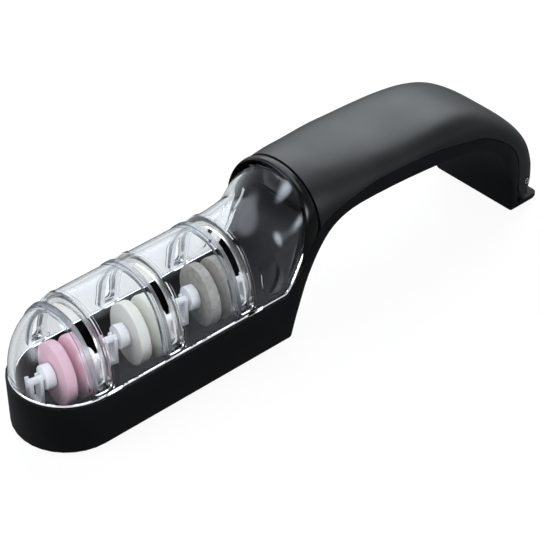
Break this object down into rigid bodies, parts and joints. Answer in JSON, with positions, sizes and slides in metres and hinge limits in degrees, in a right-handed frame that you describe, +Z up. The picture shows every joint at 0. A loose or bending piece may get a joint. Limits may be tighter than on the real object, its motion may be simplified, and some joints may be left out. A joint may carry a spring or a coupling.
{
  "type": "manual water-bath knife sharpener",
  "caption": "Hand knife sharpener: ceramic wheel pairs in a black water tray under a clear slotted lid, with a bridge-shaped handle behind; lid and grip open together on a pin in the heel.",
  "frame": {"origin": "on the table, under the middle of the whole object's length and width", "axes": "+X from the nose of the tray to the heel of the handle, +Y across to the far side, +Z up"},
  "size_m": [0.2393, 0.0424, 0.0623],
  "materials": {
    "frame_black": "satin moulded",
    "gloss_black": "polished",
    "grip_grey": "soft touch, fine matt grain",
    "clear_plastic": "clear, polished",
    "pad_rubber": "matt",
    "pin_steel": "ground",
    "axle_white": "satin moulded",
    "fine_ceramic": "very fine pink abrasive grain",
    "medium_ceramic": "fine cream abrasive grain",
    "coarse_ceramic": "coarse grey-brown abrasive grain"
  },
  "bodies": {
    "frame": {"base_frame": "frame_black", "heel_pin": "pin_steel", "front_pad": "pad_rubber", "rear_pad": "pad_rubber", "heel_pad": "pad_rubber", "fine_front_cradle": "axle_white", "fine_rear_cradle": "axle_white", "medium_front_cradle": "axle_white", "medium_rear_cradle": "axle_white", "coarse_front_cradle": "axle_white", "coarse_rear_cradle": "axle_white"},
    "lid": {"clear_lid": "clear_plastic", "mouth_collar": "gloss_black", "mouth_bulkhead": "gloss_black", "grip_shell": "grip_grey", "lid_screw_near": "pin_steel", "lid_screw_far": "pin_steel"},
    "fine_wheels": {"fine_axle": "axle_white", "fine_hub": "axle_white", "fine_front_disc": "fine_ceramic", "fine_rear_disc": "fine_ceramic"},
    "medium_wheels": {"medium_axle": "axle_white", "medium_hub": "axle_white", "medium_front_disc": "medium_ceramic", "medium_rear_disc": "medium_ceramic"},
    "coarse_wheels": {"coarse_axle": "axle_white", "coarse_hub": "axle_white", "coarse_front_disc": "coarse_ceramic", "coarse_rear_disc": "coarse_ceramic"}
  },
  "joints": [
    {"name": "lid_hinge", "type": "hinge", "parent": "frame", "child": "lid", "pos_m": [0.1124, 0, 0.0109], "axis": [0, 1, 0], "range_deg": [0, 65]},
    {"name": "fine_wheel_spin", "type": "hinge", "parent": "frame", "child": "fine_wheels", "pos_m": [-0.098, 0, 0.022], "axis": [0.9816, -0.1908, 0], "continuous": true},
    {"name": "medium_wheel_spin", "type": "hinge", "parent": "frame", "child": "medium_wheels", "pos_m": [-0.0655, 0, 0.022], "axis": [0.9816, -0.1908, 0], "continuous": true},
    {"name": "coarse_wheel_spin", "type": "hinge", "parent": "frame", "child": "coarse_wheels", "pos_m": [-0.033, 0, 0.022], "axis": [0.9816, -0.1908, 0], "continuous": true}
  ]
}
